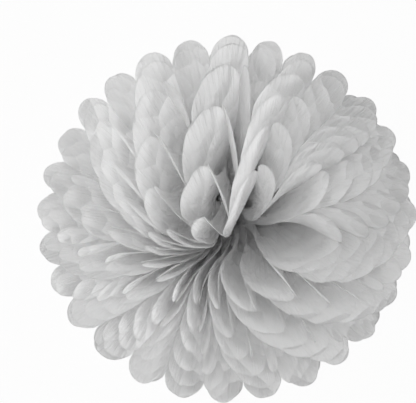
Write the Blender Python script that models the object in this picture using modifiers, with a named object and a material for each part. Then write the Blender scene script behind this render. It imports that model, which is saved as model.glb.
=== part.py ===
"""Tissue paper pom pom.

Twelve equal sheets of tissue are stacked and folded together like an accordion, and the
folded stack is cut round at both ends and tied round its middle with a thin wire. Each half
of a sheet is then fanned out over half a turn: six sheets upwards and six downwards. Metres,
+Z up, with the origin under the middle of the pom pom, on the surface that it rests on.
"""

import math

import bmesh
import bpy
import numpy as np

# Cut sheets
SHEET_WIDTH = 0.500
SHEET_LENGTH = 0.250
PANELS = 14
PAPER = 0.0003
END_ROUND = 0.0175

# How far each sheet is lifted from the level, from the middle of the stack outwards, in degrees
UPPER_TILTS = (8, 21, 33, 43.5, 54, 66)
LOWER_TILTS = (8, 20.5, 31.5, 41, 50, 61)

# Tie wire
WIRE = 0.0009
WIRE_GAP = 0.0003
TWIST_LENGTH = 0.012
TWIST_TURNS = 1.5
LOOP_POINTS = 24
TWIST_POINTS = 12

# Gathered middle: the sheets lie on each other, and the outermost strips are the narrowest
STACK_GAP = 0.00045
STRIP_HALF_WIDTH = 0.0043
SLOT_CLEARANCE = 0.00055
SEAM_GAP = 0.0006
SLOT_END = 0.014
FAN_START = 0.025
FOLD_START = 0.004
FOLD_END = 0.036
FLATTEST_FOLD = math.radians(45)
STEEPEST_FOLD = math.radians(82)
WIDEST_FOLD = math.radians(48)
TOP_NARROWING = math.radians(14)
UPRIGHT = math.radians(84)
UPRIGHT_SOFTNESS = math.radians(2.5)

# Unevenness of a pom pom that was fanned out by hand
TIE_TURN = math.radians(8)
SEAM_TWIST = math.radians(7)
SHEET_UNEVEN = 0.04
PITCH_UNEVEN = 0.10
SWING_UNEVEN = 0.28
TILT_UNEVEN = math.radians(3.0)
SWAY = math.radians(2.0)
DOME = 0.10
TOP_UNEVEN = 0.25
FOLD_SHARE = 0.85
OPEN_SIDE = math.radians(24)
OPEN_WIDTH = math.radians(42)
OPEN_DROP = math.radians(9)
STANDING_SIDE = math.radians(105)
STANDING_WIDTH = math.radians(38)
STANDING = math.radians(9)

# How fast each uneven wave drifts from sheet to sheet, and where it starts
SHEET_DRIFT = 0.7
SEAM_DRIFT = 0.5
SEAM_PHASE = 2.4
TOP_RATE = 1.4
SWING_DRIFT = 0.15
TILT_DRIFT = 0.25
SWAY_DRIFT = 0.2
SWAY_ALONG = 0.5
PITCH_PHASE, TOP_PHASE, SWING_PHASE, TILT_PHASE, SWAY_PHASE = 3, 4, 2, 1, 4

# Folds that lean over sideways, as shares of a petal's own turn upwards: all of them one way,
# and away from the open side; the lower half does so less, and the level sheets hardly
LEAN_ONE_WAY = 0.12
LEAN_AWAY = 0.90
LEAN_AWAY_AGAIN = 0.25
LOWER_LEAN = 0.4
LEAN_START = math.radians(26)
LEAN_SOFTNESS = math.radians(7)
LEAN_FROM = 0.015
LEAN_FULL = 0.100

# How the pom pom is pressed down where it rests, as shares of a petal's reach: the depth under
# the tie where petals start to give way, how much further they could be pressed, and the depth
# where the lowest ones lie flat on the surface
GIVE_START = 0.48
GIVE_SOFTNESS = 0.28
REST_SHARE = 0.676

# Corners of a panel: rows as shares of a crease's length, and the shoulders of its round end
ROWS = (0.0, 0.11, 0.37, 0.73, 1.0)
SHOULDER = 0.18

PANEL_WIDTH = SHEET_WIDTH / PANELS
WIDEST_SPREAD = 0.98 * PANEL_WIDTH
REACH = SHEET_LENGTH / 2
SHEETS = len(LOWER_TILTS) + len(UPPER_TILTS)
TILTS = [-math.radians(t) for t in reversed(LOWER_TILTS)] + [math.radians(t) for t in UPPER_TILTS]
STACK_STEP = PAPER + STACK_GAP
MIDDLE_OF_STACK = (SHEETS - 1) / 2
NECK_RADIUS = math.hypot(STRIP_HALF_WIDTH, MIDDLE_OF_STACK * STACK_STEP)
LOOP_RADIUS = NECK_RADIUS + WIRE_GAP + WIRE / 2
SLOT = WIRE + 2 * SLOT_CLEARANCE
SEAM = PAPER + SEAM_GAP
REST_DEPTH = REST_SHARE * REACH


def clear_scene():
    for old in list(bpy.data.objects):
        bpy.data.objects.remove(old)


def ease(value, start, end):
    t = np.clip((value - start) / (end - start), 0.0, 1.0)
    return t * t * (3 - 2 * t)


def wander(x, phase):
    """A smooth uneven wave of about one unit, different for each phase."""
    return 0.6 * np.sin(1.31 * x + 1.7 * phase) + 0.5 * np.sin(2.47 * x - 2.3 * phase + 0.9)


def wave(angle, phase):
    """Like wander, but it meets itself again after a full turn."""
    return 0.6 * np.sin(2 * angle + 1.7 * phase) + 0.5 * np.sin(3 * angle - 2.3 * phase + 0.9)


def below_upright(elevation):
    """Petals lean against the middle of the pom pom, and never reach over it."""
    room = UPRIGHT - np.abs(elevation)
    room = (room + np.sqrt(room**2 + 4 * UPRIGHT_SOFTNESS**2)) / 2
    return np.sign(elevation) * (UPRIGHT - room)


def steps_from_middle(sheet):
    """How many sheets lie between this one and the middle of the stack."""
    lower = len(LOWER_TILTS)
    return sheet - lower if sheet >= lower else lower - 1 - sheet


def facing(azimuth, side, width):
    """1 towards one side of the pom pom, falling smoothly to 0 round it."""
    turn = (azimuth - side + math.pi) % (2 * math.pi) - math.pi
    return np.exp(-((turn / width) ** 2))


def towards_top(sheet):
    """0 for the lower sheets and 1 for the top one, growing evenly between."""
    if sheet < len(LOWER_TILTS):
        return 0.0
    return steps_from_middle(sheet) / (len(UPPER_TILTS) - 1)


def crease_azimuths(sheet, side):
    """Azimuths of one fan's creases at its rim, from one seam to the other."""
    panel = np.arange(PANELS)
    pitch = 1 + PITCH_UNEVEN * wander(panel, PITCH_PHASE * side)
    pitch = pitch + SHEET_UNEVEN * wander(panel, SHEET_DRIFT * sheet + side)
    top_wave = wander(TOP_RATE * panel, TOP_PHASE * side + 1)
    pitch = pitch + TOP_UNEVEN * towards_top(sheet) * top_wave
    start = side * SEAM_TWIST * math.sin(SEAM_DRIFT * sheet)
    end = math.pi + side * SEAM_TWIST * math.sin(SEAM_DRIFT * sheet + SEAM_PHASE)
    run = np.concatenate([[0.0], np.cumsum(pitch)]) / np.sum(pitch)
    return start + run * (end - start)


def between_creases(values, u):
    """Read a value that is known at each crease, at places counted in panels."""
    j = np.minimum(u.astype(int), PANELS - 1)
    x = u - j
    return values[j] * (1 - x) + values[j + 1] * x


def fold_angle(pitch, tilt, r, widest):
    """The angle at the tie between two neighbouring creases, one high and one low.

    A panel keeps its width, so the fan is deep where it is narrow. The wire crushes it there,
    which limits the angle itself and how steep the panels stand.
    """
    narrowed = np.cos(tilt) * pitch
    spread = np.minimum(r * narrowed, WIDEST_SPREAD)
    full_width = np.sqrt(PANEL_WIDTH**2 - spread**2) / np.maximum(r, FOLD_START)
    flattest, steepest = math.tan(FLATTEST_FOLD), math.tan(STEEPEST_FOLD)
    steepness = flattest + (steepest - flattest) * ease(r, FOLD_START, FOLD_END)
    room = np.minimum(widest, 2 * (UPRIGHT - np.abs(tilt)))
    limits = (FOLD_SHARE * full_width, steepness * narrowed, room)
    return sum(limit**-4 for limit in limits) ** -0.25


def pressed(z):
    """Lower petals give way softly, and the lowest ends lie flat on the surface."""
    start, softness = GIVE_START * REACH, GIVE_SOFTNESS * REACH
    below = np.maximum(-z - start, 0)
    given = softness * (1 - np.exp(-below / softness))
    return np.maximum(np.maximum(z, -start) - given, PAPER / 2 - REST_DEPTH)


def sideways(around, elevation, r):
    """How far round the pom pom a point is pushed, where folds lean over each other like tiles.

    It depends on the place alone and not on the sheet, so sheets that are clear of each other
    stay so.
    """
    turn = around - OPEN_SIDE
    lean = LEAN_ONE_WAY + LEAN_AWAY * (np.sin(turn) + LEAN_AWAY_AGAIN * np.sin(2 * turn))
    above = np.abs(elevation) - LEAN_START
    above = (above + np.sqrt(above**2 + LEAN_SOFTNESS**2)) / 2
    lean = lean * np.where(elevation > 0, 1.0, LOWER_LEAN)
    return lean * np.arctanh(np.sin(above)) * ease(r, LEAN_FROM, LEAN_FULL)


def sheet_point(sheet, side, u, r):
    """A point of one fan: u counts panels from the seam, r is the distance from the tie."""
    u = np.asarray(u, float)
    r = np.asarray(r, float)
    tilt = TILTS[sheet]
    rim = crease_azimuths(sheet, side)
    level = np.arange(PANELS + 1) / PANELS * math.pi
    azimuth = between_creases(level, u)
    azimuth = azimuth + (between_creases(rim, u) - azimuth) * ease(r, FAN_START, REACH)

    pitch = np.diff(rim)
    crease_pitch = np.concatenate([pitch[:1], (pitch[:-1] + pitch[1:]) / 2, pitch[-1:]])
    crease = np.arange(PANELS + 1)
    swing = 1 + SWING_UNEVEN * wander(crease, SWING_DRIFT * sheet + SWING_PHASE * side + 5)
    sign = np.where(crease % 2 == 0, -0.5, 0.5) * swing
    out = ease(r, 0.0, REACH)
    around = side * azimuth
    lift = tilt + DOME * math.sin(2 * tilt) * (1 - r / REACH)
    lift = lift + TILT_UNEVEN * wave(around, TILT_DRIFT * sheet + TILT_PHASE) * out
    top = towards_top(sheet)
    lift = lift - OPEN_DROP * top * facing(around, OPEN_SIDE, OPEN_WIDTH) * out
    lift = lift + STANDING * top**2 * facing(around, STANDING_SIDE, STANDING_WIDTH) * out
    widest = WIDEST_FOLD - TOP_NARROWING * (np.abs(tilt) / TILTS[-1]) ** 2
    fold = fold_angle(between_creases(crease_pitch, u), lift, r, widest)
    elevation = below_upright(lift + fold * between_creases(sign, u))
    sway = wave(around, SWAY_DRIFT * sheet + SWAY_ALONG * out + SWAY_PHASE)
    azimuth = azimuth + SWAY * side * sway * out
    azimuth = azimuth + side * sideways(side * azimuth, elevation, r)

    height = (sheet - MIDDLE_OF_STACK) * STACK_STEP
    neck = math.sqrt(NECK_RADIUS**2 - height**2)
    across = 1 - 2 * u / PANELS
    flat = r * np.cos(elevation)
    x = neck * across + flat * np.cos(azimuth)
    bulge = (neck - STRIP_HALF_WIDTH) * np.sqrt(np.maximum(1 - across**2, 0))
    half_slot = (SLOT + (SEAM - SLOT) * ease(r, FOLD_START, SLOT_END)) / 2
    y = side * (half_slot + bulge + flat * np.sin(azimuth))
    z = height + r * np.sin(elevation)
    return np.stack([x, y, pressed(z)], axis=-1)


def end_of_panel(x):
    """Distance from the tie to the rounded end, at a place x from 0 to 1 across a panel."""
    return REACH - END_ROUND * (1 - math.sqrt(max(1 - (2 * x - 1) ** 2, 0)))


def add_fan(mesh, sheet, side):
    """One fan of panels, as a loft from the neck to the rounded ends, and its row at the tie."""
    creases = np.arange(PANELS + 1)
    rows = []
    for share in ROWS:
        distances = np.full(PANELS + 1, share * end_of_panel(0))
        points = sheet_point(sheet, side, creases, distances)
        rows.append([mesh.verts.new(p) for p in points])
    for near, far in zip(rows, rows[1:]):
        for j in range(PANELS):
            add_panel(mesh, side, near, far, j)
    notches = rows[-1]
    for j in range(PANELS):
        places = [j + SHOULDER, j + 0.5, j + 1 - SHOULDER]
        points = sheet_point(sheet, side, places, [end_of_panel(p - j) for p in places])
        left, tip, right = [mesh.verts.new(p) for p in points]
        add_face(mesh, side, [notches[j], left, right, notches[j + 1]])
        add_face(mesh, side, [left, tip, right])
    return rows[0]


def add_face(mesh, side, corners):
    """Both fans face up: the far one is a mirror image, so its corners run the other way."""
    mesh.faces.new(corners if side > 0 else corners[::-1])


def add_panel(mesh, side, near, far, j):
    """One stretch of a panel, as two triangles.

    It is split from its lower crease near the tie to its higher one further out, alike on every
    sheet, so that twisted panels stay clear of each other.
    """
    if j % 2 == 0:
        add_face(mesh, side, [near[j], far[j], far[j + 1]])
        add_face(mesh, side, [near[j], far[j + 1], near[j + 1]])
    else:
        add_face(mesh, side, [near[j], far[j], near[j + 1]])
        add_face(mesh, side, [far[j], far[j + 1], near[j + 1]])


def tissue_material():
    material = bpy.data.materials.new("tissue_paper")
    material.use_nodes = True
    shader = material.node_tree.nodes["Principled BSDF"]
    shader.inputs["Base Color"].default_value = (0.60, 0.60, 0.60, 1)
    shader.inputs["Roughness"].default_value = 0.85
    shader.inputs["Metallic"].default_value = 0.0
    return material


def wire_material():
    material = bpy.data.materials.new("tie_wire")
    material.use_nodes = True
    shader = material.node_tree.nodes["Principled BSDF"]
    shader.inputs["Base Color"].default_value = (0.55, 0.55, 0.56, 1)
    shader.inputs["Roughness"].default_value = 0.35
    shader.inputs["Metallic"].default_value = 1.0
    return material


def make_sheet(name, sheet, material, collection):
    """A pleated sheet: both fans and the strip between them, thickened to paper."""
    mesh = bmesh.new()
    near = add_fan(mesh, sheet, 1)
    far = add_fan(mesh, sheet, -1)
    for j in range(PANELS):
        mesh.faces.new([near[j], near[j + 1], far[j + 1], far[j]])
    bmesh.ops.triangulate(mesh, faces=mesh.faces[:])
    data = bpy.data.meshes.new(name)
    mesh.to_mesh(data)
    mesh.free()
    data.materials.append(material)
    made = bpy.data.objects.new(name, data)
    collection.objects.link(made)
    wall = made.modifiers.new("paper", "SOLIDIFY")
    wall.thickness = PAPER
    wall.offset = 0.0
    lay_flat(made)
    return made


def lay_flat(made):
    """Apply the paper's thickness, and level the underside of the petals that lie flat."""
    bpy.context.view_layer.update()
    evaluated = made.evaluated_get(bpy.context.evaluated_depsgraph_get())
    made.data = bpy.data.meshes.new_from_object(evaluated)
    made.modifiers.clear()
    for corner in made.data.vertices:
        if corner.co.z < PAPER / 2 - REST_DEPTH:
            corner.co.z = -REST_DEPTH


def make_tie(material, collection):
    """One turn of wire through the slot between the fans, its ends twisted together below."""
    twist_radius = WIRE / 2 + WIRE_GAP
    opening = math.asin(twist_radius / LOOP_RADIUS)
    turns = np.linspace(opening, 2 * math.pi - opening, LOOP_POINTS)
    loop = [(-LOOP_RADIUS * math.sin(t), 0.0, -LOOP_RADIUS * math.cos(t)) for t in turns]
    top = -LOOP_RADIUS * math.cos(opening)
    ends = []
    for phase in (math.pi, 0.0):
        end = []
        for i in range(1, TWIST_POINTS + 1):
            along = i / TWIST_POINTS
            turn = phase + 2 * math.pi * TWIST_TURNS * along
            end.append((twist_radius * math.cos(turn), twist_radius * math.sin(turn),
                        top - TWIST_LENGTH * along))
        ends.append(end)
    points = ends[0][::-1] + loop + ends[1]
    curve = bpy.data.curves.new("tie_wire", "CURVE")
    curve.dimensions = "3D"
    curve.bevel_depth = WIRE / 2
    curve.bevel_resolution = 2
    curve.use_fill_caps = True
    spline = curve.splines.new("POLY")
    spline.points.add(len(points) - 1)
    for point, place in zip(spline.points, points):
        point.co = (*place, 1.0)
    curve.materials.append(material)
    made = bpy.data.objects.new("tie_wire", curve)
    collection.objects.link(made)
    return made


def main():
    clear_scene()
    collection = bpy.data.collections.new("tissue_paper_pom_pom")
    bpy.context.scene.collection.children.link(collection)
    tissue = tissue_material()
    for sheet in range(SHEETS):
        upper = sheet >= len(LOWER_TILTS)
        name = f"{'upper' if upper else 'lower'}_sheet_{steps_from_middle(sheet) + 1}"
        make_sheet(name, sheet, tissue, collection)
    make_tie(wire_material(), collection)
    for made in collection.objects:
        made.location.z = REST_DEPTH
        made.rotation_euler.z = TIE_TURN


main()
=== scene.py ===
"""Tissue paper pom pom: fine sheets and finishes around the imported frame. Metres, +Z up."""
import math

import bpy
import numpy as np
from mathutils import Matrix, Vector


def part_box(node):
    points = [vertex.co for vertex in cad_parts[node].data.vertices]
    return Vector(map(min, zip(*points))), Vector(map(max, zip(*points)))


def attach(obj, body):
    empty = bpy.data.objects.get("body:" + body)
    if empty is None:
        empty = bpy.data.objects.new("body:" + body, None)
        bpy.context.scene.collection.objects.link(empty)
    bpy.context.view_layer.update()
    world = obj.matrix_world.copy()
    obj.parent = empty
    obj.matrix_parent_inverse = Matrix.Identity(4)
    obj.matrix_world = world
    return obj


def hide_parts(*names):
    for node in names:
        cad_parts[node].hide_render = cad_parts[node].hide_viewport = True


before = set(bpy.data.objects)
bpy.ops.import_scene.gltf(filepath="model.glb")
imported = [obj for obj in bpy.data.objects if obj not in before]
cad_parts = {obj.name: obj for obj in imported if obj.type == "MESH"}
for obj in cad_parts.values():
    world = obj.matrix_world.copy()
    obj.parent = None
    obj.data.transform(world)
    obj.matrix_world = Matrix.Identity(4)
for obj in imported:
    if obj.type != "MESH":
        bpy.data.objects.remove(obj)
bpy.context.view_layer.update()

# Cut sheets, as in the CAD
SHEET_WIDTH = 0.500
SHEET_LENGTH = 0.250
PANELS = 14
PAPER = 0.0003
END_ROUND = 0.0175
UPPER_TILTS = (8, 21, 33, 43.5, 54, 66)
LOWER_TILTS = (8, 20.5, 31.5, 41, 50, 61)

# Gathered middle, as in the CAD, but for SEAM_GAP and SLOT_END: thin paper closes its seams
# nearer to the tie
WIRE = 0.0009
WIRE_GAP = 0.0003
STACK_GAP = 0.00045
STRIP_HALF_WIDTH = 0.0043
SLOT_CLEARANCE = 0.00055
SEAM_GAP = 0.0002
SLOT_END = 0.007
FAN_START = 0.025
FOLD_START = 0.004
FOLD_END = 0.036
FLATTEST_FOLD = math.radians(45)
STEEPEST_FOLD = math.radians(82)
WIDEST_FOLD = math.radians(48)
TOP_NARROWING = math.radians(14)
UPRIGHT = math.radians(84)
UPRIGHT_SOFTNESS = math.radians(2.5)

# Unevenness of a pom pom that was fanned out by hand, as in the CAD
TIE_TURN = math.radians(8)
SEAM_TWIST = math.radians(7)
SHEET_UNEVEN = 0.04
PITCH_UNEVEN = 0.10
SWING_UNEVEN = 0.28
TILT_UNEVEN = math.radians(3.0)
SWAY = math.radians(2.0)
DOME = 0.10
TOP_UNEVEN = 0.25
OPEN_SIDE = math.radians(24)
OPEN_WIDTH = math.radians(42)
OPEN_DROP = math.radians(9)
STANDING_SIDE = math.radians(105)
STANDING_WIDTH = math.radians(38)
STANDING = math.radians(9)

# How fast each uneven wave drifts from sheet to sheet, and where it starts
SHEET_DRIFT = 0.7
SEAM_DRIFT = 0.5
SEAM_PHASE = 2.4
TOP_RATE = 1.4
SWING_DRIFT = 0.15
TILT_DRIFT = 0.25
SWAY_DRIFT = 0.2
SWAY_ALONG = 0.5
PITCH_PHASE, TOP_PHASE, SWING_PHASE, TILT_PHASE, SWAY_PHASE = 3, 4, 2, 1, 4

# Folds that lean over sideways, as shares of a petal's own turn upwards: all of them one way,
# and away from the open side; the lower half does so less, and the level sheets hardly
LEAN_ONE_WAY = 0.12
LEAN_AWAY = 0.90
LEAN_AWAY_AGAIN = 0.25
LOWER_LEAN = 0.4
LEAN_START = math.radians(26)
LEAN_SOFTNESS = math.radians(7)
LEAN_FROM = 0.015
LEAN_FULL = 0.100
GIVE_START = 0.48
GIVE_SOFTNESS = 0.28
REST_SHARE = 0.676

PANEL_WIDTH = SHEET_WIDTH / PANELS
WIDEST_SPREAD = 0.98 * PANEL_WIDTH
REACH = SHEET_LENGTH / 2
SHEETS = len(LOWER_TILTS) + len(UPPER_TILTS)
TILTS = [-math.radians(t) for t in reversed(LOWER_TILTS)] + [math.radians(t) for t in UPPER_TILTS]
STACK_STEP = PAPER + STACK_GAP
MIDDLE_OF_STACK = (SHEETS - 1) / 2
NECK_RADIUS = math.hypot(STRIP_HALF_WIDTH, MIDDLE_OF_STACK * STACK_STEP)
LOOP_RADIUS = NECK_RADIUS + WIRE_GAP + WIRE / 2
SLOT = WIRE + 2 * SLOT_CLEARANCE
SEAM = PAPER + SEAM_GAP
REST_DEPTH = REST_SHARE * REACH

# Folds are a little deeper than in the CAD, where thick sheets need more room
FOLD_SHARE = 0.94

# Fineness of the paper's mesh: columns in a panel, even rows, and closer rows at the cut end
COLUMNS = 18
ROWS = 40
END_ROWS = (0.986, 0.9905, 0.995, 1.0)

# Cut ends: how wide a rim flares outwards and how far, and the small wrinkles next to it
# RIM is also the width of the painted highlight along the cut rims
RIM = 0.0014
FLARE = 0.0006
RUFFLE_REACH = 0.012
RUFFLE_HEIGHT = 0.0003
RUFFLE_RATE = 40.0
RUFFLE_DRIFT = 1.3

# Crushed paper near the tie lets less light through: where that starts and ends along a panel,
# and how much less
CRUSHED_FROM = 0.020
CRUSHED_TO = 0.075
CRUSHED_SHARE = -0.25

# The paper's texture: noise scales per metre of the flat sheet, and heights as shares of RELIEF
CLOUDS_SCALE = 90
FIBRES_SCALE = 420
CREASES_SCALE = 16
FACETS_SCALE = 60
RELIEF = 0.0042
FIBRES_RELIEF = 0.12
FACETS_RELIEF = 1.6

# The paper's colour, roughness and sheen, and the share of light that it lets through
THIN_SHADE, THICK_SHADE = 0.955, 0.985
FIBRES_SHADE = 0.012
# Painted highlight: the cut rims are coloured this much lighter than the rest of the paper
RIM_PAINTED_HIGHLIGHT = 0.02
SMOOTHEST, ROUGHEST = 0.68, 0.82
SPECULAR = 0.15
SHEEN_ROUGHNESS = 0.4
THROUGH_SHADE = (0.998, 0.998, 0.998, 1)
THIN_SHARE, THICK_SHARE = 0.72, 0.64
RIM_SHARE = 0.3

# Seams of the two fans, staggered beside the wire so that none lies straight above the next
STAGGER = 0.0011
STAGGER_WAVE = 0.0085
STAGGER_FROM = 0.0072
STAGGER_FULL = 0.0120
STAGGER_FADE = 0.012
STAGGER_END = 0.022

# Top petals that bend over the middle: how far, which way, and from what height and distance
BEND = 0.045
BEND_WAY = math.radians(-75)
BEND_FROM = 0.022
BEND_FULL = 0.095
BEND_BACK = (-0.130, -0.055)
BEND_FRONT = (-0.055, 0.038)
BEND_HALF_WIDTH = 0.055

# Fine folds that the wire crushes into the paper: they run along the petals and fade outwards,
# but go on to the ends of the petals that the pom pom rests on
GATHER_RATE = 25.0
GATHER_SLOPE = 1.7
STEEP_SLOPE = 4.8
STEEP_FROM = math.radians(35)
STEEP_FULL = math.radians(62)
GATHER_FROM = 0.004
GATHER_FULL = 0.016
GATHER_FADE = 0.026
GATHER_END = 0.068
GATHER_STEEPEST = 0.35
GATHER_DRIFTS = ((0.9, 2, 0.4), (0.4, 3, 2.0))
RESTING_SLOPE = 2.4
RESTING_FROM = math.radians(32)
RESTING_FULL = math.radians(58)
REST_STEP = 0.05

# Undulations and wrinkles of soft paper: the longest and shortest wave, how steep all of them
# are together, and where they start and are full, as distances from the tie
SWELL = (0.028, 0.060, 0.42, 0.020, 0.070)
WRINKLES = (0.010, 0.022, 0.48, 0.055, 0.120)
WAVES = 9

# The photograph: its frame and the pom pom's place and size in it, in pixels
PHOTO_WIDTH = 416
PHOTO_HEIGHT = 403
MIDDLE_IN_PHOTO = (226.5, 219.4)
REACH_IN_PHOTO = 180.5
CAMERA_HEIGHT = 1.5
SENSOR = 36

# The studio: the world's strength, the floor's half size and how much of its own white is seen
AMBIENT = 0.12
FLOOR_HALF = 6.0
FLOOR_WHITE = 0.97
FLOOR_COLOR = (0.92, 0.92, 0.92, 1)
WHITE = (1, 1, 1, 1)

# Lamps: place, size and power
KEY = ((-1.2, 0.3, 0.6), 0.7, 5.5)
OVERHEAD = ((-0.05, 0.02, 1.95), 0.25, 4.9)


def ease(value, start, end):
    t = np.clip((value - start) / (end - start), 0.0, 1.0)
    return t * t * (3 - 2 * t)


def wander(x, phase):
    """A smooth uneven wave of about one unit, different for each phase."""
    return 0.6 * np.sin(1.31 * x + 1.7 * phase) + 0.5 * np.sin(2.47 * x - 2.3 * phase + 0.9)


def wave(angle, phase):
    """Like wander, but it meets itself again after a full turn."""
    return 0.6 * np.sin(2 * angle + 1.7 * phase) + 0.5 * np.sin(3 * angle - 2.3 * phase + 0.9)


def below_upright(elevation):
    """Folds keep a petal below upright, so that only bend_over takes it over the middle."""
    room = UPRIGHT - np.abs(elevation)
    room = (room + np.sqrt(room**2 + 4 * UPRIGHT_SOFTNESS**2)) / 2
    return np.sign(elevation) * (UPRIGHT - room)


def steps_from_middle(sheet):
    lower = len(LOWER_TILTS)
    return sheet - lower if sheet >= lower else lower - 1 - sheet


def facing(azimuth, side, width):
    """1 towards one side of the pom pom, falling smoothly to 0 round it."""
    turn = (azimuth - side + math.pi) % (2 * math.pi) - math.pi
    return np.exp(-((turn / width) ** 2))


def towards_top(sheet):
    """0 for the lower sheets and 1 for the top one, growing evenly between."""
    if sheet < len(LOWER_TILTS):
        return 0.0
    return steps_from_middle(sheet) / (len(UPPER_TILTS) - 1)


def crease_azimuths(sheet, side):
    """Azimuths of one fan's creases at its rim, from one seam to the other."""
    panel = np.arange(PANELS)
    pitch = 1 + PITCH_UNEVEN * wander(panel, PITCH_PHASE * side)
    pitch = pitch + SHEET_UNEVEN * wander(panel, SHEET_DRIFT * sheet + side)
    top_wave = wander(TOP_RATE * panel, TOP_PHASE * side + 1)
    pitch = pitch + TOP_UNEVEN * towards_top(sheet) * top_wave
    start = side * SEAM_TWIST * math.sin(SEAM_DRIFT * sheet)
    end = math.pi + side * SEAM_TWIST * math.sin(SEAM_DRIFT * sheet + SEAM_PHASE)
    run = np.concatenate([[0.0], np.cumsum(pitch)]) / np.sum(pitch)
    return start + run * (end - start)


def between_creases(values, u):
    """Read a value that is known at each crease, at places counted in panels."""
    j = np.minimum(u.astype(int), PANELS - 1)
    x = u - j
    return values[j] * (1 - x) + values[j + 1] * x


def fold_angle(pitch, tilt, r, widest):
    """The angle at the tie between two neighbouring creases, one high and one low."""
    narrowed = np.cos(tilt) * pitch
    spread = np.minimum(r * narrowed, WIDEST_SPREAD)
    full_width = np.sqrt(PANEL_WIDTH**2 - spread**2) / np.maximum(r, FOLD_START)
    flattest, steepest = math.tan(FLATTEST_FOLD), math.tan(STEEPEST_FOLD)
    steepness = flattest + (steepest - flattest) * ease(r, FOLD_START, FOLD_END)
    room = np.minimum(widest, 2 * (UPRIGHT - np.abs(tilt)))
    limits = (FOLD_SHARE * full_width, steepness * narrowed, room)
    return sum(limit**-4 for limit in limits) ** -0.25


def pressed(z):
    """Lower petals give way softly, and the lowest ends lie flat on the surface."""
    start, softness = GIVE_START * REACH, GIVE_SOFTNESS * REACH
    below = np.maximum(-z - start, 0)
    given = softness * (1 - np.exp(-below / softness))
    floor = PAPER / 2 - REST_DEPTH + REST_STEP * np.maximum(z + REACH, 0)
    return np.maximum(np.maximum(z, -start) - given, floor)


def sideways(around, elevation, r):
    """How far round the pom pom a point is pushed, where folds lean over each other like tiles.

    It doesn't depend on the sheet, but on the angles at which a sheet leaves the tie, and by
    itself it makes no sheets cross.
    """
    turn = around - OPEN_SIDE
    lean = LEAN_ONE_WAY + LEAN_AWAY * (np.sin(turn) + LEAN_AWAY_AGAIN * np.sin(2 * turn))
    above = np.abs(elevation) - LEAN_START
    above = (above + np.sqrt(above**2 + LEAN_SOFTNESS**2)) / 2
    lean = lean * np.where(elevation > 0, 1.0, LOWER_LEAN)
    return lean * np.arctanh(np.sin(above)) * ease(r, LEAN_FROM, LEAN_FULL)


def gathers(around, elevation, r):
    """How far round the pom pom a point is pushed by the fine folds.

    The elevation is taken from where each sheet leaves the tie, so neighbours that are steep
    fold out of step and cross each other near the tie.
    """
    near = 1 - ease(r, GATHER_FADE, GATHER_END)
    steep = ease(np.abs(elevation), STEEP_FROM, STEEP_FULL)
    resting = ease(-elevation, RESTING_FROM, RESTING_FULL)
    slope = (GATHER_SLOPE + (STEEP_SLOPE - GATHER_SLOPE) * steep) * near
    slope = slope + RESTING_SLOPE * resting * (1 - near)
    drift = sum(size * np.sin(rate * around + start) for size, rate, start in GATHER_DRIFTS)
    push = np.sin(GATHER_RATE * elevation + drift) / GATHER_RATE
    push = push / np.maximum(np.cos(elevation), GATHER_STEEPEST)
    return slope * push * ease(r, GATHER_FROM, GATHER_FULL)


def waves(seed, shortest, longest, steepness):
    """Seeded waves in random directions: where each runs, where it pushes, and its phase."""
    random = np.random.default_rng(seed)
    length = random.uniform(shortest, longest, WAVES)
    run = random.normal(size=(WAVES, 3))
    run = run / np.linalg.norm(run, axis=1, keepdims=True) * (2 * math.pi / length)[:, None]
    push = random.normal(size=(WAVES, 3))
    push = push / np.linalg.norm(push, axis=1, keepdims=True)
    push = push * (steepness / WAVES * length / (2 * math.pi))[:, None]
    return run, push, random.uniform(0, 2 * math.pi, WAVES)


def undulate(points, r):
    """Push points about by waves in space that are gentle enough to keep the sheets apart."""
    moved = points
    for seed, (shortest, longest, steepness, start, end) in enumerate((SWELL, WRINKLES)):
        run, push, phase = waves(seed, shortest, longest, steepness)
        shift = np.sin(points @ run.T + phase) @ push
        moved = moved + shift * ease(r, start, end)[..., None]
    return moved


def stagger(x, y, z):
    """How far the paper beside the wire is pushed across the seam, by its place alone."""
    out = np.hypot(x, y)
    beside = ease(out, STAGGER_FROM, STAGGER_FULL) * (1 - ease(out, STAGGER_FADE, STAGGER_END))
    beside = beside * (1 - ease(np.abs(z), STAGGER_FADE, STAGGER_END))
    return STAGGER * np.sin(2 * math.pi * z / STAGGER_WAVE) * beside


def bend_over(x, y, z):
    """How far the tops of the petals on one side bend over the middle, by their place alone."""
    along = x * math.cos(BEND_WAY) + y * math.sin(BEND_WAY)
    across = y * math.cos(BEND_WAY) - x * math.sin(BEND_WAY)
    bend = BEND * ease(z, BEND_FROM, BEND_FULL) * np.exp(-((across / BEND_HALF_WIDTH) ** 2))
    return bend * ease(along, *BEND_BACK) * (1 - ease(along, *BEND_FRONT))


def cut_end(sheet, side, u, r, end):
    """How far a cut end leans outwards: a flared rim, and wrinkles at some of the ends."""
    x = u - np.floor(u)
    flare = FLARE * math.sin(2 * abs(TILTS[sheet]) - math.pi / 2) * ease(r, end - RIM, end)
    some = np.maximum(wander(np.floor(u), RUFFLE_DRIFT * sheet + side), 0)
    ruffle = np.sin(RUFFLE_RATE * x + 2 * sheet + u) * np.sin(math.pi * x)
    return flare + RUFFLE_HEIGHT * some * ruffle * ease(r, end - RUFFLE_REACH, end)


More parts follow.
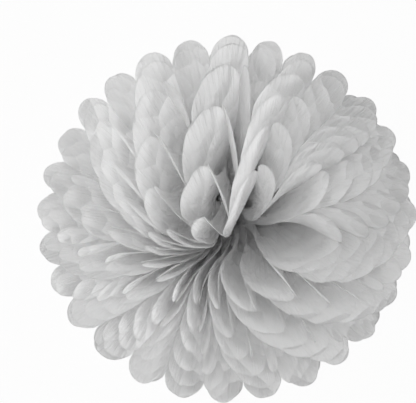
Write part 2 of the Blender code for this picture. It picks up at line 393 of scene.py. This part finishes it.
def sheet_point(sheet, side, u, r, end):
    """A point of one fan: u counts panels from the seam, r is the distance from the tie."""
    tilt = TILTS[sheet]
    rim = crease_azimuths(sheet, side)
    level = np.arange(PANELS + 1) / PANELS * math.pi
    azimuth = between_creases(level, u)
    azimuth = azimuth + (between_creases(rim, u) - azimuth) * ease(r, FAN_START, REACH)

    pitch = np.diff(rim)
    crease_pitch = np.concatenate([pitch[:1], (pitch[:-1] + pitch[1:]) / 2, pitch[-1:]])
    crease = np.arange(PANELS + 1)
    swing = 1 + SWING_UNEVEN * wander(crease, SWING_DRIFT * sheet + SWING_PHASE * side + 5)
    sign = np.where(crease % 2 == 0, -0.5, 0.5) * swing
    out = ease(r, 0.0, REACH)
    around = side * azimuth
    lift = tilt + DOME * math.sin(2 * tilt) * (1 - r / REACH)
    lift = lift + TILT_UNEVEN * wave(around, TILT_DRIFT * sheet + TILT_PHASE) * out
    top = towards_top(sheet)
    lift = lift - OPEN_DROP * top * facing(around, OPEN_SIDE, OPEN_WIDTH) * out
    lift = lift + STANDING * top**2 * facing(around, STANDING_SIDE, STANDING_WIDTH) * out
    widest = WIDEST_FOLD - TOP_NARROWING * (np.abs(tilt) / TILTS[-1]) ** 2
    fold = fold_angle(between_creases(crease_pitch, u), lift, r, widest)
    elevation = below_upright(lift + fold * between_creases(sign, u))
    elevation = elevation - np.sign(TILTS[sheet]) * cut_end(sheet, side, u, r, end) / REACH
    sway = wave(around, SWAY_DRIFT * sheet + SWAY_ALONG * out + SWAY_PHASE)
    azimuth = azimuth + SWAY * side * sway * out
    azimuth = azimuth + side * gathers(side * azimuth, elevation, r)
    azimuth = azimuth + side * sideways(side * azimuth, elevation, r)

    height = (sheet - MIDDLE_OF_STACK) * STACK_STEP
    neck = math.sqrt(NECK_RADIUS**2 - height**2)
    across = 1 - 2 * u / PANELS
    flat = r * np.cos(elevation)
    x = neck * across + flat * np.cos(azimuth)
    bulge = (neck - STRIP_HALF_WIDTH) * np.sqrt(np.maximum(1 - across**2, 0))
    half_slot = (SLOT + (SEAM - SLOT) * ease(r, FOLD_START, SLOT_END)) / 2
    y = side * (half_slot + bulge + flat * np.sin(azimuth))
    z = height + r * np.sin(elevation)
    y = y + stagger(x, y, z)
    bend = bend_over(x, y, z)
    x = x + bend * math.cos(BEND_WAY)
    y = y + bend * math.sin(BEND_WAY)
    points = undulate(np.stack([x, y, z], axis=-1), r)
    points[..., 2] = pressed(points[..., 2])
    return points


def end_of_panel(x):
    """Distance from the tie to the rounded end, at a place x from 0 to 1 across a panel."""
    return REACH - END_ROUND * (1 - np.sqrt(np.maximum(1 - (2 * x - 1) ** 2, 0)))


def fan_grid(sheet, side):
    """Points over one fan, from the tie to the cut ends, with their places on the flat sheet."""
    u = np.arange(PANELS * COLUMNS + 1) / COLUMNS
    x = u - np.minimum(u.astype(int), PANELS - 1)
    share = np.append(np.arange(ROWS) / ROWS, END_ROWS)
    end = np.broadcast_to(end_of_panel(x), (len(share), len(x)))
    r = share[:, None] * end
    u = np.broadcast_to(u, r.shape)
    flat = np.stack([u * PANEL_WIDTH, REACH + side * r], axis=-1)
    return sheet_point(sheet, side, u, r, end), flat, end - r


def quads(start, rows, columns):
    """Faces of a grid of points that are numbered row by row."""
    index = start + np.arange(rows * columns).reshape(rows, columns)
    corners = (index[:-1, :-1], index[1:, :-1], index[1:, 1:], index[:-1, 1:])
    return np.stack(corners, axis=-1).reshape(-1, 4)


def make_sheet(name, sheet, material, neck):
    """One whole sheet: both fans and the strip between them, as one layer of paper."""
    near, near_flat, near_rim = fan_grid(sheet, 1)
    far, far_flat, far_rim = fan_grid(sheet, -1)
    points = np.concatenate([far[::-1].reshape(-1, 3), near.reshape(-1, 3)])
    flat = np.concatenate([far_flat[::-1].reshape(-1, 2), near_flat.reshape(-1, 2)])
    cos, sin = math.cos(TIE_TURN), math.sin(TIE_TURN)
    turned = points @ np.array([[cos, sin, 0], [-sin, cos, 0], [0, 0, 1]])
    faces = quads(0, len(near) + len(far), PANELS * COLUMNS + 1)
    mesh = bpy.data.meshes.new(name)
    mesh.from_pydata((turned + neck).tolist(), [], faces.tolist())
    layer = mesh.uv_layers.new(name="flat_sheet")
    corners = flat[faces.reshape(-1)]
    layer.data.foreach_set("uv", corners.astype(np.float32).ravel())
    to_rim = mesh.attributes.new("to_rim", "FLOAT", "POINT")
    distance = np.concatenate([far_rim[::-1], near_rim])
    to_rim.data.foreach_set("value", distance.astype(np.float32).ravel())
    mesh.shade_smooth()
    mark_creases(mesh)
    mesh.materials.append(material)
    made = bpy.data.objects.new(name, mesh)
    bpy.context.scene.collection.objects.link(made)
    return made


def mark_creases(mesh):
    """The folds between panels are crisp, and the paper between them is smooth."""
    ends = np.empty(len(mesh.edges) * 2, np.int32)
    mesh.edges.foreach_get("vertices", ends)
    column = ends.reshape(-1, 2) % (PANELS * COLUMNS + 1)
    crisp = (column[:, 0] == column[:, 1]) & (column[:, 0] % COLUMNS == 0)
    sharp = mesh.attributes.new("sharp_edge", "BOOLEAN", "EDGE")
    sharp.data.foreach_set("value", crisp)


def node(tree, kind, **values):
    made = tree.nodes.new(kind)
    for name, value in values.items():
        made.inputs[name.replace("_", " ")].default_value = value
    return made


def noise(tree, place, stretch, scale, detail):
    """Noise on the flat sheet, with its grain stretched along it or across it."""
    spread = tree.nodes.new("ShaderNodeMapping")
    spread.inputs["Scale"].default_value = (*stretch, 1)
    tree.links.new(place, spread.inputs["Vector"])
    made = node(tree, "ShaderNodeTexNoise", Scale=scale, Detail=detail, Roughness=0.6)
    tree.links.new(spread.outputs[0], made.inputs["Vector"])
    return made.outputs["Fac"]


def ramp(tree, value, low, high, start, end):
    """Read a value off an even slope from start to end."""
    made = node(tree, "ShaderNodeMapRange")
    for name, number in zip(("From Min", "From Max", "To Min", "To Max"), (low, high, start, end)):
        made.inputs[name].default_value = number
    tree.links.new(value, made.inputs["Value"])
    return made.outputs[0]


def combine(tree, operation, first, second=0.0):
    made = tree.nodes.new("ShaderNodeMath")
    made.operation = operation
    for socket, value in zip(made.inputs, (first, second)):
        if isinstance(value, float):
            socket.default_value = value
        else:
            tree.links.new(value, socket)
    return made.outputs[0]


def tissue_material():
    """White tissue: cloudy where fibres lie thicker, with a fine grain and cut rims painted
    lighter as a highlight.
    """
    material = bpy.data.materials.new("tissue_paper")
    material.use_nodes = True
    tree = material.node_tree
    tree.nodes.clear()
    out = tree.nodes.new("ShaderNodeOutputMaterial")
    sheet = tree.nodes.new("ShaderNodeUVMap")
    sheet.uv_map = "flat_sheet"
    clouds = noise(tree, sheet.outputs[0], (1, 1), CLOUDS_SCALE, 3)
    fibres = noise(tree, sheet.outputs[0], (4, 1), FIBRES_SCALE, 4)
    creases = noise(tree, sheet.outputs[0], (9, 1), CREASES_SCALE, 3)
    facets = node(tree, "ShaderNodeTexVoronoi", Scale=FACETS_SCALE, Randomness=1.0)
    tree.links.new(sheet.outputs[0], facets.inputs["Vector"])
    rim = tree.nodes.new("ShaderNodeAttribute")
    rim.attribute_name = "to_rim"
    # The cut rims: a painted highlight in the colour, and a smaller share of light let through
    edge = ramp(tree, rim.outputs["Fac"], 0.0, RIM, 1.0, 0.0)

    shade = ramp(tree, clouds, 0.3, 0.7, THIN_SHADE, THICK_SHADE)
    shade = combine(tree, "ADD", shade, ramp(tree, fibres, 0.3, 0.7, -FIBRES_SHADE, FIBRES_SHADE))
    # Painted highlight: the colour is lighter along the cut rims
    shade = combine(tree, "ADD", shade, ramp(tree, edge, 0.0, 1.0, 0.0, RIM_PAINTED_HIGHLIGHT))
    grain = combine(tree, "ADD", ramp(tree, fibres, 0.0, 1.0, 0.0, FIBRES_RELIEF), creases)
    facet = ramp(tree, facets.outputs["Distance"], 0.0, 1.0, 0.0, FACETS_RELIEF)
    grain = combine(tree, "ADD", grain, facet)
    bump = node(tree, "ShaderNodeBump", Strength=1.0, Distance=RELIEF)
    tree.links.new(grain, bump.inputs["Height"])

    face = node(tree, "ShaderNodeBsdfPrincipled", Specular_IOR_Level=SPECULAR, Sheen_Weight=1.0)
    face.inputs["Sheen Roughness"].default_value = SHEEN_ROUGHNESS
    tree.links.new(shade, face.inputs["Base Color"])
    roughness = ramp(tree, fibres, 0.3, 0.7, SMOOTHEST, ROUGHEST)
    tree.links.new(roughness, face.inputs["Roughness"])
    tree.links.new(bump.outputs[0], face.inputs["Normal"])
    through = node(tree, "ShaderNodeBsdfTranslucent", Color=THROUGH_SHADE)
    tree.links.new(bump.outputs[0], through.inputs["Normal"])

    split = tree.nodes.new("ShaderNodeSeparateXYZ")
    tree.links.new(sheet.outputs[0], split.inputs[0])
    from_tie = combine(tree, "ABSOLUTE", combine(tree, "SUBTRACT", split.outputs[1], REACH))
    crushed = ramp(tree, from_tie, CRUSHED_FROM, CRUSHED_TO, CRUSHED_SHARE, 0.0)
    share = combine(tree, "ADD", ramp(tree, clouds, 0.3, 0.7, THIN_SHARE, THICK_SHARE), crushed)
    share = combine(tree, "SUBTRACT", share, ramp(tree, edge, 0.0, 1.0, 0.0, RIM_SHARE))
    mix = tree.nodes.new("ShaderNodeMixShader")
    tree.links.new(share, mix.inputs[0])
    tree.links.new(face.outputs[0], mix.inputs[1])
    tree.links.new(through.outputs[0], mix.inputs[2])
    tree.links.new(mix.outputs[0], out.inputs[0])
    return material


def wire_material():
    """Soft bare steel, drawn along its length and a little dull."""
    material = bpy.data.materials.new("tie_wire")
    material.use_nodes = True
    tree = material.node_tree
    shader = tree.nodes["Principled BSDF"]
    shader.inputs["Metallic"].default_value = 1.0
    place = tree.nodes.new("ShaderNodeTexCoord").outputs["Object"]
    dull = noise(tree, place, (1, 1), 900, 3)
    scratches = noise(tree, place, (1, 8), 2500, 2)
    tree.links.new(ramp(tree, dull, 0.3, 0.7, 0.46, 0.62), shader.inputs["Base Color"])
    tree.links.new(ramp(tree, dull, 0.3, 0.7, 0.45, 0.28), shader.inputs["Roughness"])
    bump = node(tree, "ShaderNodeBump", Strength=0.3, Distance=0.00005)
    tree.links.new(scratches, bump.inputs["Height"])
    tree.links.new(bump.outputs[0], shader.inputs["Normal"])
    return material


def add_camera(neck):
    scale = REACH / REACH_IN_PHOTO
    data = bpy.data.cameras.new("camera")
    data.sensor_width = SENSOR
    data.lens = SENSOR * CAMERA_HEIGHT / (PHOTO_WIDTH * scale)
    data.shift_x = (PHOTO_WIDTH / 2 - MIDDLE_IN_PHOTO[0]) / PHOTO_WIDTH
    data.shift_y = (MIDDLE_IN_PHOTO[1] - PHOTO_HEIGHT / 2) / PHOTO_WIDTH
    camera = bpy.data.objects.new("camera", data)
    camera.location = neck + Vector((0, 0, CAMERA_HEIGHT))
    bpy.context.scene.collection.objects.link(camera)
    bpy.context.scene.camera = camera


def add_lamp(name, target, place, size, power):
    data = bpy.data.lights.new(name, "AREA")
    data.size = size
    data.energy = power
    lamp = bpy.data.objects.new(name, data)
    lamp.location = place
    lamp.rotation_euler = (target - Vector(place)).to_track_quat("-Z", "Y").to_euler()
    bpy.context.scene.collection.objects.link(lamp)


def seen_directly(tree):
    """1 for what the camera sees directly or in a mirror or glass, and 0 for light."""
    path = tree.nodes.new("ShaderNodeLightPath")
    either = None
    for name in ("Is Camera Ray", "Is Glossy Ray", "Is Transmission Ray"):
        if either is None:
            either = path.outputs[name]
            continue
        larger = tree.nodes.new("ShaderNodeMath")
        larger.operation = "MAXIMUM"
        tree.links.new(either, larger.inputs[0])
        tree.links.new(path.outputs[name], larger.inputs[1])
        either = larger.outputs[0]
    return either


def add_world():
    world = bpy.data.worlds.new("studio")
    world.use_nodes = True
    tree = world.node_tree
    ambient = tree.nodes["Background"]
    ambient.inputs["Color"].default_value = WHITE
    ambient.inputs["Strength"].default_value = AMBIENT
    white = node(tree, "ShaderNodeBackground", Color=WHITE, Strength=1.0)
    mix = tree.nodes.new("ShaderNodeMixShader")
    tree.links.new(seen_directly(tree), mix.inputs[0])
    tree.links.new(ambient.outputs[0], mix.inputs[1])
    tree.links.new(white.outputs[0], mix.inputs[2])
    tree.links.new(mix.outputs[0], tree.nodes["World Output"].inputs[0])
    bpy.context.scene.world = world


def add_floor():
    mesh = bpy.data.meshes.new("floor")
    corners = ((-1, -1), (1, -1), (1, 1), (-1, 1))
    mesh.from_pydata([(x * FLOOR_HALF, y * FLOOR_HALF, 0) for x, y in corners], [], [(0, 1, 2, 3)])
    floor = bpy.data.objects.new("floor", mesh)
    bpy.context.scene.collection.objects.link(floor)
    material = bpy.data.materials.new("floor")
    material.use_nodes = True
    tree = material.node_tree
    tree.nodes.clear()
    out = tree.nodes.new("ShaderNodeOutputMaterial")
    paint = node(tree, "ShaderNodeBsdfDiffuse", Color=FLOOR_COLOR)
    white = node(tree, "ShaderNodeEmission", Color=WHITE, Strength=1.0)
    share = tree.nodes.new("ShaderNodeMath")
    share.operation = "MULTIPLY"
    share.inputs[1].default_value = FLOOR_WHITE
    tree.links.new(seen_directly(tree), share.inputs[0])
    mix = tree.nodes.new("ShaderNodeMixShader")
    tree.links.new(share.outputs[0], mix.inputs[0])
    tree.links.new(paint.outputs[0], mix.inputs[1])
    tree.links.new(white.outputs[0], mix.inputs[2])
    tree.links.new(mix.outputs[0], out.inputs[0])
    mesh.materials.append(material)


def sheet_name(sheet):
    half = "upper" if sheet >= len(LOWER_TILTS) else "lower"
    return f"{half}_sheet_{steps_from_middle(sheet) + 1}"


tie_low, tie_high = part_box("tie_wire")
middle = Vector((
    (tie_low[0] + tie_high[0]) / 2,
    (tie_low[1] + tie_high[1]) / 2,
    tie_high[2] - LOOP_RADIUS - WIRE / 2,
))
add_camera(middle)
tissue = tissue_material()
for sheet in range(SHEETS):
    name = sheet_name(sheet)
    piece = make_sheet("tissue_" + name, sheet, tissue, np.array(middle))
    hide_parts(name)
    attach(piece, "root")
wire = bpy.data.objects["tie_wire"]
for material_slot in wire.material_slots:
    material_slot.material = wire_material()
add_world()
add_floor()
add_lamp("key", middle, *KEY)
add_lamp("overhead", middle, *OVERHEAD)
bpy.context.scene.view_settings.view_transform = "Standard"
